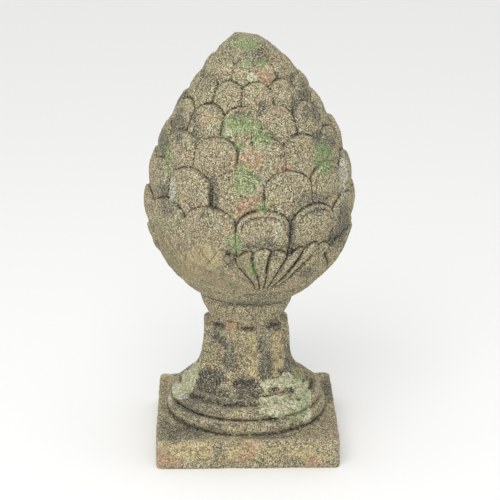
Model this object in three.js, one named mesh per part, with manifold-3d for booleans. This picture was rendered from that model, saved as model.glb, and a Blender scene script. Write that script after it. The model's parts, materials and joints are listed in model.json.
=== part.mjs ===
// A garden finial in cast stone: a pine cone on a fluted shaft, over two beads and a square plinth.
// It is one casting, so it is one solid. Lengths are in millimetres and +Z is up. The origin is the
// centre of the plinth's underside, and the front faces -Y.

import * as THREE from "three";
import { mergeVertices } from "three/addons/utils/BufferGeometryUtils.js";
import Module from "manifold-3d";

// The plinth: a square slab with softened corners and edges.
const PLINTH_WIDTH = 200;
const PLINTH_HEIGHT = 33;
const PLINTH_CORNER_RADIUS = 6;
const PLINTH_EDGE_RADIUS = 3;

// The two beads that lie on the plinth, each set in from what carries it, with a groove above it.
const LOWER_BEAD_MARGIN = 11;
const LOWER_BEAD_HEIGHT = 14.5;
const LOWER_BEAD_BULGE = 9;
const UPPER_BEAD_MARGIN = 5;
const UPPER_BEAD_HEIGHT = 13;
const UPPER_BEAD_BULGE = 8;
const GROOVE_HEIGHT = 1.2;

// The shaft: a flared foot, a nearly straight waist cut by hollow flutes, and a round shoulder
// with a pocket over each flute.
const FOOT_MARGIN = 12;
const FOOT_HEIGHT = 7;
const FOOT_ROUND = 2;
const WAIST_RADIUS = 51;
const SHAFT_HEIGHT = 76;
const FLARE_HEIGHT = 13.4;
const FLUTES = 8;
const FLUTE_DEPTH = 4.5;
const POCKET_DEPTH = 4;
const SHOULDER_RADIUS = 6;

// The neck, and the collar that the cone sits in.
const NECK_RADIUS = 42;
const NECK_HEIGHT = 9;
const COLLAR_RADIUS = 51;
const COLLAR_HEIGHT = 25;

// The cone, and how deep its scales and leaves are cut.
const CONE_RADIUS = 114.5;
const CONE_HEIGHT = 289;
const CONE_OFFSET = 3.8;
const TIP_OFFSET = -9;
const SCALES_ROUND = 12;
const SCALE_STEP = 6.5;
const SIDE_STEP = 4;
const LIP_ROUND = 1;
const RIM_WIDTH = 7;
const RIM_DEPTH = 2.2;
const LEAVES_ROUND = 6;
const LEAF_DEPTH = 2.5;
const RIB_DEPTH = 3.2;

// How finely the round stretches are divided.
const BEAD_SIDES = 48;
const COLUMNS_A_SCALE = 6;
const COLUMNS_A_FLUTE = 6;
const ARC_STEPS = 3;

// Radii and heights that follow from the sizes above.
const lowerBeadRadius = PLINTH_WIDTH / 2 - LOWER_BEAD_MARGIN;
const upperBeadRadius = lowerBeadRadius - UPPER_BEAD_MARGIN;
const footRadius = upperBeadRadius - FOOT_MARGIN;
const upperBeadFoot = PLINTH_HEIGHT + LOWER_BEAD_HEIGHT + GROOVE_HEIGHT;
const beadsTop = upperBeadFoot + UPPER_BEAD_HEIGHT + GROOVE_HEIGHT;
const shoulderTop = beadsTop + SHAFT_HEIGHT;
const collarFoot = shoulderTop + NECK_HEIGHT;
const coneFoot = collarFoot + COLLAR_HEIGHT;

const wasm = await Module();
wasm.setup();

const radians = THREE.MathUtils.degToRad;
const mix = THREE.MathUtils.lerp;
const smooth = THREE.MathUtils.smoothstep;

// A point at a radius, a height and a turn from the front towards +X, in degrees.
function polar(radius, turn, height, shift = 0) {
  const angle = radians(turn);
  return [shift + radius * Math.sin(angle), -radius * Math.cos(angle), height];
}

// The closed skin over a stack of rings, given from the lowest up, each a list of as many points.
function skin(rings) {
  const round = rings[0].length;
  const middle = (ring) => [0, 1, 2].map((k) => ring.reduce((sum, p) => sum + p[k], 0) / round);
  const points = [...rings.flat(), middle(rings[0]), middle(rings.at(-1))];
  const floor = points.length - 2;
  const roof = points.length - 1;
  const last = (rings.length - 1) * round;
  const faces = [];
  for (let j = 0; j < round; j++) {
    const next = (j + 1) % round;
    for (let base = 0; base < last; base += round) {
      faces.push(base + j, base + next, base + round + next);
      faces.push(base + j, base + round + next, base + round + j);
    }
    faces.push(floor, next, j);
    faces.push(roof, last + j, last + next);
  }
  const geometry = new THREE.BufferGeometry();
  geometry.setAttribute("position", new THREE.Float32BufferAttribute(points.flat(), 3));
  geometry.setIndex(faces);
  return geometry;
}

function solidOf(geometry) {
  const bare = new THREE.BufferGeometry();
  bare.setAttribute("position", geometry.getAttribute("position").clone());
  bare.setIndex(geometry.index);
  const merged = mergeVertices(bare, 1e-4);
  return new wasm.Manifold(
    new wasm.Mesh({
      numProp: 3,
      vertProperties: new Float32Array(merged.attributes.position.array),
      triVerts: new Uint32Array(merged.index.array),
    }),
  );
}

function geometryOf(solid) {
  const mesh = solid.getMesh();
  const geometry = new THREE.BufferGeometry();
  geometry.setAttribute("position", new THREE.BufferAttribute(mesh.vertProperties, 3));
  geometry.setIndex(new THREE.BufferAttribute(mesh.triVerts, 1));
  geometry.computeVertexNormals();
  return geometry;
}

// The slab, extruded from a rounded square, with its bevel inside the stated width and height.
function plinth() {
  const half = PLINTH_WIDTH / 2 - PLINTH_EDGE_RADIUS;
  const corner = PLINTH_CORNER_RADIUS;
  const outline = new THREE.Shape();
  for (let k = 0; k < 4; k++) {
    const start = (k * Math.PI) / 2;
    const across = Math.SQRT2 * (half - corner);
    const x = across * Math.cos(start + Math.PI / 4);
    const y = across * Math.sin(start + Math.PI / 4);
    outline.absarc(x, y, corner, start, start + Math.PI / 2);
  }
  const slab = new THREE.ExtrudeGeometry(outline, {
    depth: PLINTH_HEIGHT - 2 * PLINTH_EDGE_RADIUS,
    bevelThickness: PLINTH_EDGE_RADIUS,
    bevelSize: PLINTH_EDGE_RADIUS,
    bevelSegments: 2,
    curveSegments: ARC_STEPS,
  });
  return slab.translate(0, 0, PLINTH_EDGE_RADIUS);
}

// Half an ellipse that stands out to a radius between two heights, as profile points from below.
function bead(radius, low, height, bulge) {
  const centre = new THREE.Vector2(radius - bulge, low + height / 2);
  const steps = 2 * ARC_STEPS;
  return Array.from({ length: steps + 1 }, (_, k) => {
    const angle = radians(-90 + (180 * k) / steps);
    return new THREE.Vector2(
      centre.x + bulge * Math.cos(angle),
      centre.y + (height / 2) * Math.sin(angle),
    );
  });
}

// Both beads, turned as one profile that starts and ends on the axis.
function beads() {
  const profile = [
    new THREE.Vector2(0, PLINTH_HEIGHT / 2),
    new THREE.Vector2(lowerBeadRadius - LOWER_BEAD_BULGE, PLINTH_HEIGHT / 2),
    ...bead(lowerBeadRadius, PLINTH_HEIGHT, LOWER_BEAD_HEIGHT, LOWER_BEAD_BULGE),
    ...bead(upperBeadRadius, upperBeadFoot, UPPER_BEAD_HEIGHT, UPPER_BEAD_BULGE),
    new THREE.Vector2(0, upperBeadFoot + UPPER_BEAD_HEIGHT),
  ];
  return new THREE.LatheGeometry(profile, BEAD_SIDES).rotateX(Math.PI / 2);
}

// The shaft, neck and collar as one skin: each ring has a height, a radius and a flute depth.
function shaft() {
  const foot = beadsTop + FOOT_HEIGHT;
  const shoulder = shoulderTop - SHOULDER_RADIUS;
  const spread = footRadius - FOOT_ROUND - WAIST_RADIUS;
  const flare = (height) => WAIST_RADIUS + spread * Math.exp((foot - height) / FLARE_HEIGHT);
  const levels = [
    [PLINTH_HEIGHT / 2, footRadius, 0],
    [foot - FOOT_ROUND, footRadius, 0],
    [foot, flare(foot), 0],
  ];
  for (const share of [0.08, 0.18, 0.3, 0.46, 0.68, 1]) {
    const height = mix(foot, shoulder, share);
    levels.push([height, flare(height), FLUTE_DEPTH * smooth(share, 0, 0.18)]);
  }
  for (const angle of [35, 70]) {
    const rise = SHOULDER_RADIUS * Math.sin(radians(angle));
    const inset = SHOULDER_RADIUS * (1 - Math.cos(radians(angle)));
    levels.push([shoulder + rise, WAIST_RADIUS - inset, FLUTE_DEPTH * (1 - angle / 90)]);
  }
  levels.push([shoulderTop, mix(NECK_RADIUS, WAIST_RADIUS - SHOULDER_RADIUS, 0.7), POCKET_DEPTH]);
  levels.push([shoulderTop + NECK_HEIGHT / 2, NECK_RADIUS, 0]);
  for (const share of [0, 0.25, 0.5, 0.75, 1]) {
    const radius = mix(NECK_RADIUS, COLLAR_RADIUS, Math.sin((share * Math.PI) / 2));
    levels.push([collarFoot + share * COLLAR_HEIGHT, radius, 0]);
  }
  const columns = FLUTES * COLUMNS_A_FLUTE;
  return skin(
    levels.map(([height, radius, depth]) =>
      Array.from({ length: columns }, (_, j) => {
        const across = ((2 * j) / COLUMNS_A_FLUTE) % 2;
        const hollow = 1 - Math.min(across, 2 - across) ** 2;
        return polar(radius - depth * hollow, (360 * j) / columns, height);
      }),
    ),
  );
}

// The cone's outline over the scale tips, as shares of its height and of its radius.
const OUTLINE = [
  [0, 0.46],
  [0.045, 0.625],
  [0.15, 0.86],
  [0.28, 0.99],
  [0.385, 1],
  [0.564, 0.895],
  [0.685, 0.755],
  [0.848, 0.475],
  [0.958, 0.23],
  [1, 0.12],
];

function outline(share) {
  const k = Math.min(
    OUTLINE.length - 2,
    Math.max(0, OUTLINE.findIndex(([height]) => height > share) - 1),
  );
  const slope = (i) => {
    const [below, above] = [OUTLINE[Math.max(0, i - 1)], OUTLINE[Math.min(OUTLINE.length - 1, i + 1)]];
    return (above[1] - below[1]) / (above[0] - below[0]);
  };
  const [[low, from], [high, to]] = [OUTLINE[k], OUTLINE[k + 1]];
  const step = high - low;
  const t = (share - low) / step;
  const bend = (t - 1) * slope(k) * step;
  const lift = t * slope(k + 1) * step;
  return mix(from, to, t * t * (3 - 2 * t)) + t * (1 - t) * (-bend - lift);
}

// The rows of scales from the widest up: each row's step is a share of the outline where it starts.
const ROWS = 7;
const FIRST_TIP = 0.4325;
const ROW_STEP = 0.13;
const LOBE_TOP = 0.285;
const LEAF_ROOT = 0.1;
const LOBE_ARCH = 0.01;
const ARCH_SHARE = 0.29;
const CAP_SHARE = 0.92;

const tips = [FIRST_TIP];
while (tips.length < ROWS) tips.push(tips.at(-1) + ROW_STEP * outline(tips.at(-1)));

const FRONT_TURN = 6.5;
const columns = SCALES_ROUND * COLUMNS_A_SCALE;
const pitch = 360 / SCALES_ROUND;
const turnOf = (j) => FRONT_TURN + (360 * j) / columns;

// How far column j stands from the middle of its scale in a row, from 0 to 1 at the joint.
function sideways(row, j) {
  const half = COLUMNS_A_SCALE / 2;
  const from = (j + (row % 2) * half) % COLUMNS_A_SCALE;
  return Math.min(from, COLUMNS_A_SCALE - from) / half;
}

// Frost and rain have rounded the carving away low on the left of the front. The worn patch has its
// middle and half size as turns in degrees and as shares of the cone's height.
const WORN_TURN = -45;
const WORN_HALF_TURN = 42;
const WORN_SHARE = 0.24;
const WORN_HALF_SHARE = 0.2;
const WORN_AWAY = 0.7;

function kept(turn, share) {
  const across = (THREE.MathUtils.euclideanModulo(turn - WORN_TURN + 180, 360) - 180) / WORN_HALF_TURN;
  const up = (share - WORN_SHARE) / WORN_HALF_SHARE;
  return 1 - WORN_AWAY * smooth(1 - Math.hypot(across, up), 0, 0.5);
}

// The height of a row's arched top edge over column j, as a share of the cone's height.
function arch(row, j) {
  const tip = tips[row];
  const width = (2 * Math.PI * CONE_RADIUS * outline(tip)) / SCALES_ROUND;
  return tip - (ARCH_SHARE * width * sideways(row, j) ** 2) / CONE_HEIGHT;
}

// How deep a row is cut: the small scales near the tip are shallower.
const cutOf = (row) => mix(0.45, 1, outline(tips[row]));

// How deep the surface lies under the outline on a row's scale, from 0 at its lip to its back.
function depthOn(row, j, back) {
  return cutOf(row) * (SIDE_STEP * sideways(row, j) ** 3 + SCALE_STEP * back);
}

// The cone sits a little to the right of the shaft, and its worn tip leans back to the left.
function lean(share) {
  return CONE_OFFSET + TIP_OFFSET * share ** 24;
}

function conePoint(j, share, depth, turn = turnOf(j)) {
  const radius = CONE_RADIUS * outline(share) - depth * kept(turn, share);
  return polar(radius, turn, coneFoot + CONE_HEIGHT * share, lean(share));
}

const ring = (at) => Array.from({ length: columns }, (_, j) => at(j));

// One row's own surface, from the edge of the row below up to its lip: it starts deep, under that
// edge, rises to a boss, dips in the groove inside the rim, and ends at the lip. The smallest rows
// have no boss, and the last one no groove.
function scaleRings(row, lowerEdge) {
  const band = CONE_HEIGHT * (tips[row] - lowerEdge(0));
  const rim = Math.min(RIM_WIDTH, band / 4) / CONE_HEIGHT;
  const level = (shareAt, back, sink = 0) =>
    ring((j) => conePoint(j, shareAt(j), depthOn(row, j, back) + cutOf(row) * sink));
  const rings = [level(lowerEdge, 1)];
  if (row < ROWS - 2) rings.push(level((j) => mix(lowerEdge(j), arch(row, j), 0.45), 0.25));
  if (row < ROWS - 1) rings.push(level((j) => arch(row, j) - rim, 0, RIM_DEPTH));
  rings.push(level((j) => arch(row, j) - rim / 4, 0));
  rings.push(level((j) => arch(row, j), 0, LIP_ROUND));
  return rings;
}

// The edge of the leaves, which arches under each scale of the lowest row.
function lobeTop(j) {
  return LOBE_TOP - 0.03 * sideways(0, j) ** 2;
}

// The leaves under the scales: ribs that fan up from each leaf's root to round tops.
function leafRings() {
  const half = columns / LEAVES_ROUND / 2;
  const place = (j) => ((j + half) % (2 * half)) - half;
  const groove = (j) => Math.abs(place(j) % 2);
  const level = (rise, gather, sink) =>
    ring((j) => {
      const k = place(j);
      const pull = mix(gather, 1, (Math.abs(k) / half) ** 3) - 1;
      const share = mix(LEAF_ROOT, lobeTop(j), rise) - LOBE_ARCH * groove(j);
      return conePoint(j, share, sink + RIB_DEPTH * groove(j), turnOf(j) + (pull * k * 360) / columns);
    });
  return [level(0, 0.4, 0), level(0.35, 0.65, 0), level(0.92, 1, 0), level(1, 1, LEAF_DEPTH)];
}

function cone() {
  const overLobes = (j) => lobeTop(j) + LOBE_ARCH / 2;
  const inCollar = coneFoot - COLLAR_HEIGHT / 2;
  const rings = [
    ring((j) => polar(0.7 * COLLAR_RADIUS, turnOf(j), inCollar)),
    ring((j) => conePoint(j, 0, 0)),
    ring((j) => conePoint(j, 0.4 * LEAF_ROOT, 0)),
    ring((j) => conePoint(j, LEAF_ROOT - 1.5 * LOBE_ARCH, LEAF_DEPTH)),
    ...leafRings(),
  ];
  for (let row = 0; row < ROWS; row++) {
    rings.push(...scaleRings(row, row ? (j) => arch(row - 1, j) : overLobes));
  }
  const lastTip = tips.at(-1);
  const cap = (step) =>
    ring((j) => {
      const share = mix(lastTip, 1, step);
      const radius = CAP_SHARE * CONE_RADIUS * outline(lastTip) * (1 - step) ** 0.6;
      return polar(radius, turnOf(j), coneFoot + CONE_HEIGHT * share, lean(share));
    });
  rings.push(cap(0.02), cap(0.55), cap(0.97));
  return skin(rings);
}

// The four forms are cast in one, so their solids are joined.
function finial() {
  const pieces = [plinth(), beads(), shaft(), cone()].map(solidOf);
  const whole = pieces.reduce((sum, piece) => sum.add(piece));
  const stone = new THREE.MeshStandardMaterial({ color: 0x9b8d6b, roughness: 0.95, metalness: 0 });
  const mesh = new THREE.Mesh(geometryOf(whole), stone);
  mesh.name = "pinecone_finial";
  return mesh;
}

const part = new THREE.Group();
part.add(finial());

export default part;
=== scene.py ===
# %% [markdown]
# A pinecone finial is an ornament of cast stone that stands on a gate pier. Sand, cement and a little
# yellow oxide were packed into one mould, so cone, shaft, beads and plinth are one casting, and they
# are one mesh here too. This notebook builds the parts of the mould by hand, joins them into one skin,
# wears the skin as frost and rain do, and stains it with dirt, moss and lichen.
#
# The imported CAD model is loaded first. It gives the size and place of everything, and its box is kept,
# because the dressed model has to stay inside it.

# %% Load the frame
import json
import math
import random

import bmesh
import bpy
import numpy as np
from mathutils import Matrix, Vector, noise
from mathutils.bvhtree import BVHTree

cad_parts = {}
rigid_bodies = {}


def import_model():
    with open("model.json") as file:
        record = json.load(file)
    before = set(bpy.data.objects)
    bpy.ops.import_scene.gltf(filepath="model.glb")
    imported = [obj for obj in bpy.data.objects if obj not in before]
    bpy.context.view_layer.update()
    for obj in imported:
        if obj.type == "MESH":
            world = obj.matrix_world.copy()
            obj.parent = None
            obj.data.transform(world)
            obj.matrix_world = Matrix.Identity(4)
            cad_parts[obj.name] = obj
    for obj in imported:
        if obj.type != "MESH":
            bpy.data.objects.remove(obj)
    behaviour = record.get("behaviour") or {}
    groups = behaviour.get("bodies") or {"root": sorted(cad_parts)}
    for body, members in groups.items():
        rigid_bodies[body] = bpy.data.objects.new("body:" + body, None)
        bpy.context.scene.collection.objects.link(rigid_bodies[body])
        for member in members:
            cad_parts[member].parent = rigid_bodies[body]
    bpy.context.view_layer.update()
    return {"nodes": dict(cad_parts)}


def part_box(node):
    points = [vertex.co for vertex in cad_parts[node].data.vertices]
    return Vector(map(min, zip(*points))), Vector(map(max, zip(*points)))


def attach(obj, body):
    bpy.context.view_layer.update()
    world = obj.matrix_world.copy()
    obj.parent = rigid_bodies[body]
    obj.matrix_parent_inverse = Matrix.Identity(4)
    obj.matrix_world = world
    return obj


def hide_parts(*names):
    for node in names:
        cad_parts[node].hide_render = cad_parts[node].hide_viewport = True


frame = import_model()
casting_high = Vector(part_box("pinecone_finial")[1])
MM = 0.001
print(len(frame["nodes"]), "CAD node,", round(casting_high.z / MM, 1), "mm high")

# %% [markdown]
# The camera comes early, because some stains are placed by looking through it. The photograph was
# taken from about two metres away with a long lens, about 18 degrees above level, a little to the left
# of square on. The eye point and the point it looks at are both moved a few millimetres sideways, which
# keeps the lens without shift.

# %% Camera
PHOTO_SIZE = 500
PHOTO_FOCUS = 1940.7
SENSOR = 36.0
CAMERA_AZIMUTH = math.radians(-1.2)
CAMERA_PITCH = math.radians(18.243)
CAMERA_DISTANCE = 2.138
CAMERA_SIDESTEP = 4.1 * MM
AIM_HEIGHT = 217.55 * MM

towards = Vector(
    (
        -math.sin(CAMERA_AZIMUTH) * math.cos(CAMERA_PITCH),
        math.cos(CAMERA_AZIMUTH) * math.cos(CAMERA_PITCH),
        -math.sin(CAMERA_PITCH),
    )
)
rightwards = Vector((math.cos(CAMERA_AZIMUTH), math.sin(CAMERA_AZIMUTH), 0))
upwards = rightwards.cross(towards)
eye = Vector((0, 0, AIM_HEIGHT)) + rightwards * CAMERA_SIDESTEP - towards * CAMERA_DISTANCE

bpy.ops.object.camera_add(location=eye, rotation=towards.to_track_quat("-Z", "Y").to_euler())
camera = bpy.context.object
camera.data.sensor_width = SENSOR
camera.data.lens = PHOTO_FOCUS * SENSOR / PHOTO_SIZE
bpy.context.scene.camera = camera


def sight(x, y):
    """The direction in which a pixel of the photograph is seen from the eye point."""
    half = PHOTO_SIZE / 2
    return (towards * PHOTO_FOCUS + rightwards * (x - half) - upwards * (y - half)).normalized()


MM_A_PIXEL = CAMERA_DISTANCE / PHOTO_FOCUS
print("lens", round(camera.data.lens, 1), "mm, one pixel is", round(MM_A_PIXEL / MM, 2), "mm")

# %% [markdown]
# A few small helpers do what a hand does in the viewport: start a piece, go into edit mode, pick some
# of its points or edges by where they are, and come out again. An operator works on all that is
# selected, so each helper clears the selection first.


# %% Helpers for modelling
def deselect():
    bpy.ops.object.select_all(action="DESELECT")


def started(name):
    """Names the primitive that was just added and applies its place and size to its mesh."""
    bpy.ops.object.transform_apply(location=True, rotation=True, scale=True)
    piece = bpy.context.object
    piece.name = name
    piece.data.name = name
    return piece


def edit(piece):
    deselect()
    piece.select_set(True)
    bpy.context.view_layer.objects.active = piece
    bpy.ops.object.mode_set(mode="EDIT")
    bpy.ops.mesh.select_mode(type="VERT")
    bpy.ops.mesh.select_all(action="DESELECT")


def done():
    bpy.ops.object.mode_set(mode="OBJECT")


def choose(piece, test):
    """Selects the points for which the test holds, and the edges and faces between them."""
    bpy.ops.mesh.select_all(action="DESELECT")
    bpy.ops.mesh.select_mode(type="VERT")
    shape = bmesh.from_edit_mesh(piece.data)
    for point in shape.verts:
        point.select = test(point.co)
    shape.select_flush(True)
    bmesh.update_edit_mesh(piece.data)


def choose_edges(piece, test):
    """Selects the edges for which the test of both their ends holds."""
    bpy.ops.mesh.select_all(action="DESELECT")
    bpy.ops.mesh.select_mode(type="EDGE")
    shape = bmesh.from_edit_mesh(piece.data)
    for edge in shape.edges:
        edge.select = test(edge.verts[0].co, edge.verts[1].co)
    bmesh.update_edit_mesh(piece.data)


def apply(piece, kind, **settings):
    """Adds a modifier with its settings and applies it at once."""
    deselect()
    piece.select_set(True)
    bpy.context.view_layer.objects.active = piece
    modifier = piece.modifiers.new(kind.lower(), kind)
    for name, value in settings.items():
        setattr(modifier, name, value)
    bpy.ops.object.modifier_apply(modifier=modifier.name)


SAME_POINT = 0.01 * MM


def turned(name, profile, steps):
    """A profile of radius and height pairs, turned about the upright axis as on a lathe."""
    deselect()
    radius, height = profile[0]
    bpy.ops.mesh.primitive_plane_add(size=MM, location=(radius, 0, height))
    piece = started(name)
    edit(piece)
    bpy.ops.mesh.select_all(action="SELECT")
    bpy.ops.mesh.merge(type="CENTER")
    for (r0, h0), (r1, h1) in zip(profile, profile[1:]):
        step = (r1 - r0, 0, h1 - h0)
        bpy.ops.mesh.extrude_region_move(TRANSFORM_OT_translate={"value": step})
    bpy.ops.mesh.select_all(action="SELECT")
    bpy.ops.mesh.spin(steps=steps, angle=math.tau, center=(0, 0, 0), axis=(0, 0, 1))
    bpy.ops.mesh.select_all(action="SELECT")
    bpy.ops.mesh.remove_doubles(threshold=SAME_POINT)
    bpy.ops.mesh.normals_make_consistent(inside=False)
    done()
    return piece


forms = []
print("helpers ready")

# %% [markdown]
# The plinth is a square slab with blunt corners. It could be extruded from a drawn square, but a cube
# is already square: its upright edges are bevelled for the corners and then the edges round its top
# and bottom for the blunt arris.

# %% Plinth
PLINTH_WIDTH = 200 * MM
PLINTH_HEIGHT = 33 * MM
PLINTH_CORNER_RADIUS = 6 * MM
PLINTH_CORNER_STEPS = 5
PLINTH_EDGE_RADIUS = 3 * MM
PLINTH_EDGE_STEPS = 4


def make_plinth():
    deselect()
    size = (PLINTH_WIDTH, PLINTH_WIDTH, PLINTH_HEIGHT)
    bpy.ops.mesh.primitive_cube_add(size=1, location=(0, 0, PLINTH_HEIGHT / 2), scale=size)
    slab = started("plinth form")
    edit(slab)
    choose_edges(slab, lambda a, b: (a.xy - b.xy).length < MM)
    bpy.ops.mesh.bevel(offset=PLINTH_CORNER_RADIUS, segments=PLINTH_CORNER_STEPS, affect="EDGES")
    choose_edges(slab, lambda a, b: abs(a.z - b.z) < MM)
    bpy.ops.mesh.bevel(offset=PLINTH_EDGE_RADIUS, segments=PLINTH_EDGE_STEPS, affect="EDGES")
    done()
    return slab


forms.append(make_plinth())
print("plinth has", len(forms[-1].data.polygons), "faces")

# %% [markdown]
# Two round beads lie on the plinth with a groove between them. They were turned on the model that the
# mould was made from, so a half-ellipse profile is spun about the axis here.

# %% Beads
LOWER_BEAD_RADIUS = 89 * MM
LOWER_BEAD_HEIGHT = 14.5 * MM
LOWER_BEAD_BULGE = 9 * MM
UPPER_BEAD_RADIUS = 84 * MM
UPPER_BEAD_HEIGHT = 13 * MM
UPPER_BEAD_BULGE = 8 * MM
GROOVE_HEIGHT = 1.2 * MM
BEAD_FULLNESS = 0.65
BEAD_STEPS = 12
BEAD_SIDES = 160
BURIED = PLINTH_HEIGHT / 2

upper_bead_foot = PLINTH_HEIGHT + LOWER_BEAD_HEIGHT + GROOVE_HEIGHT
beads_top = upper_bead_foot + UPPER_BEAD_HEIGHT + GROOVE_HEIGHT


def bead(radius, low, height, bulge):
    """Half a full ellipse that stands out to a radius, from its low edge up."""
    points = []
    for k in range(BEAD_STEPS + 1):
        angle = math.pi * (k / BEAD_STEPS - 0.5)
        out = radius - bulge + bulge * abs(math.cos(angle)) ** BEAD_FULLNESS
        points.append((out, low + height / 2 * (1 + math.sin(angle))))
    return points


beads_profile = [
    (0, BURIED),
    (LOWER_BEAD_RADIUS - LOWER_BEAD_BULGE, BURIED),
    *bead(LOWER_BEAD_RADIUS, PLINTH_HEIGHT, LOWER_BEAD_HEIGHT, LOWER_BEAD_BULGE),
    *bead(UPPER_BEAD_RADIUS, upper_bead_foot, UPPER_BEAD_HEIGHT, UPPER_BEAD_BULGE),
    (0, upper_bead_foot + UPPER_BEAD_HEIGHT),
]
forms.append(turned("beads form", beads_profile, BEAD_SIDES))
print("beads top at", round(beads_top / MM, 1), "mm")

# %% [markdown]
# The shaft flares out at its foot, narrows to a waist and ends in a round shoulder, with a neck and an
# ovolo collar above. Eight hollow flutes run up the waist, each with a small pocket over it on the
# shoulder. The whole is spun first. Then the columns of points inside each flute are drawn in towards
# the axis, deepest in the middle, which leaves a sharp arris between two flutes.

# %% Shaft, neck and collar
FOOT_RADIUS = 72 * MM
FOOT_HEIGHT = 7 * MM
FOOT_ROUND = 2 * MM
FOOT_STEP = 2.2 * MM
WAIST_RADIUS = 51 * MM
SHAFT_HEIGHT = 76 * MM
FLARE_HEIGHT = 13.4 * MM
FLUTES = 8
FLUTE_DEPTH = 5.2 * MM
FLUTE_FADE = 0.18
POCKET_DEPTH = 5 * MM
SHOULDER_RADIUS = 6 * MM
NECK_RADIUS = 42 * MM
NECK_HEIGHT = 9 * MM
COLLAR_RADIUS = 51 * MM
COLLAR_HEIGHT = 25 * MM
COLUMNS_A_FLUTE = 16
SHAFT_RINGS = 16
SHOULDER_RINGS = 4
SHOULDER_BEND = math.radians(80)
COLLAR_RINGS = 8
POCKET_SHARPNESS = 3
# Each ring: how far it stands out from the neck, its height over the shoulder, its hollows' depth.
NECK_CURVE = [
    (3.2 * MM, 0.6 * MM, POCKET_DEPTH),
    (1.6 * MM, 2.2 * MM, POCKET_DEPTH),
    (0.5 * MM, 4.6 * MM, 0.3 * POCKET_DEPTH),
]

foot_top = beads_top + FOOT_HEIGHT
shoulder_top = beads_top + SHAFT_HEIGHT
shoulder_foot = shoulder_top - SHOULDER_RADIUS
collar_foot = shoulder_top + NECK_HEIGHT
cone_foot = collar_foot + COLLAR_HEIGHT


def smooth(value, start=0.0, end=1.0):
    """A soft step from 0 at the start to 1 at the end, for a number or an array."""
    share = np.clip((value - start) / (end - start), 0, 1)
    return share * share * (3 - 2 * share)


def between(value, up, down):
    """1 between two soft steps, each given by where it starts and ends, and 0 outside them."""
    return smooth(value, *up) * (1 - smooth(value, *down))


def flare(height):
    spread = FOOT_RADIUS - FOOT_ROUND - FOOT_STEP - WAIST_RADIUS
    return WAIST_RADIUS + spread * math.exp((foot_top - height) / FLARE_HEIGHT)


def shaft_levels():
    """Rings of the shaft from below, each a radius, a height and how deep its flutes are."""
    levels = [(0, BURIED, 0), (FOOT_RADIUS, BURIED, 0), (FOOT_RADIUS, foot_top - FOOT_ROUND, 0)]
    levels.append((FOOT_RADIUS - FOOT_ROUND / 3, foot_top - FOOT_ROUND / 3, 0))
    levels.append((FOOT_RADIUS - FOOT_ROUND, foot_top, 0))
    for k in range(SHAFT_RINGS + 1):
        share = k / SHAFT_RINGS
        height = foot_top + share * (shoulder_foot - foot_top)
        levels.append((flare(height), height, FLUTE_DEPTH * smooth(share, 0, FLUTE_FADE)))
    for k in range(1, SHOULDER_RINGS + 1):
        angle = SHOULDER_BEND * k / SHOULDER_RINGS
        radius = WAIST_RADIUS - SHOULDER_RADIUS * (1 - math.cos(angle))
        height = shoulder_foot + SHOULDER_RADIUS * math.sin(angle)
        levels.append((radius, height, FLUTE_DEPTH * (1 - k / SHOULDER_RINGS / 2)))
    for radius, rise, depth in NECK_CURVE:
        levels.append((NECK_RADIUS + radius, shoulder_top + rise, depth))
    for k in range(COLLAR_RINGS + 1):
        angle = math.pi / 2 * k / COLLAR_RINGS
        radius = NECK_RADIUS + (COLLAR_RADIUS - NECK_RADIUS) * math.sin(angle)
        levels.append((radius, collar_foot + k / COLLAR_RINGS * COLLAR_HEIGHT, 0))
    levels.append((0, cone_foot, 0))
    return levels


def make_shaft():
    levels = shaft_levels()
    columns = FLUTES * COLUMNS_A_FLUTE
    shaft = turned("shaft form", [level[:2] for level in levels], columns)
    edit(shaft)
    for radius, height, depth in levels:
        if not depth:
            continue
        sharpness = POCKET_SHARPNESS if height > shoulder_top else 1
        for k in range(COLUMNS_A_FLUTE // 2):
            hollow = (1 - (2 * k / COLUMNS_A_FLUTE) ** 2) ** sharpness

            def in_column(point, k=k, height=height):
                column = round(math.atan2(point.y, point.x) / math.tau * columns) % COLUMNS_A_FLUTE
                level_with = abs(point.z - height) < 10 * SAME_POINT
                return level_with and min(column, COLUMNS_A_FLUTE - column) == k

            choose(shaft, in_column)
            share = 1 - depth * hollow / radius
            bpy.ops.transform.resize(value=(share, share, 1), center_override=(0, 0, height))
    done()
    return shaft


forms.append(make_shaft())
print("collar top at", round(cone_foot / MM, 1), "mm")

# %% [markdown]
# The cone is an egg with seven rows of twelve scales. Its outline over the scale tips was read from
# the photograph and is kept as shares of the cone's height and radius. A point on the cone is given by
# its turn from the front in degrees, its share of the height, and how deep it lies under the outline.
# One function turns those into a place, and every scale and leaf is laid on the egg with it.

# %% The cone's own coordinates
CONE_RADIUS = 114.5 * MM
CONE_HEIGHT = 289 * MM
CONE_OFFSET = 3.8 * MM
TIP_OFFSET = -9 * MM
TIP_BEND = 24
# Each point: a share of the cone's height, and the share of its radius there.
OUTLINE = [
    (0, 0.46),
    (0.045, 0.625),
    (0.15, 0.86),
    (0.28, 0.99),
    (0.385, 1),
    (0.564, 0.895),
    (0.685, 0.755),
    (0.848, 0.475),
    (0.958, 0.23),
    (1, 0.12),
]
rises, widths = np.array(OUTLINE).T
slopes = np.gradient(widths, rises)
slopes[1:-1] = (widths[2:] - widths[:-2]) / (rises[2:] - rises[:-2])


def outline(share):
    """The share of the cone's radius at a share of its height, on a smooth curve."""
    share = np.clip(share, 0, 1)
    k = np.clip(np.searchsorted(rises, share, side="right") - 1, 0, len(rises) - 2)
    step = rises[k + 1] - rises[k]
    t = (share - rises[k]) / step
    along = widths[k] + (widths[k + 1] - widths[k]) * t * t * (3 - 2 * t)
    return along + t * (1 - t) * step * ((1 - t) * slopes[k] - t * slopes[k + 1])


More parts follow.
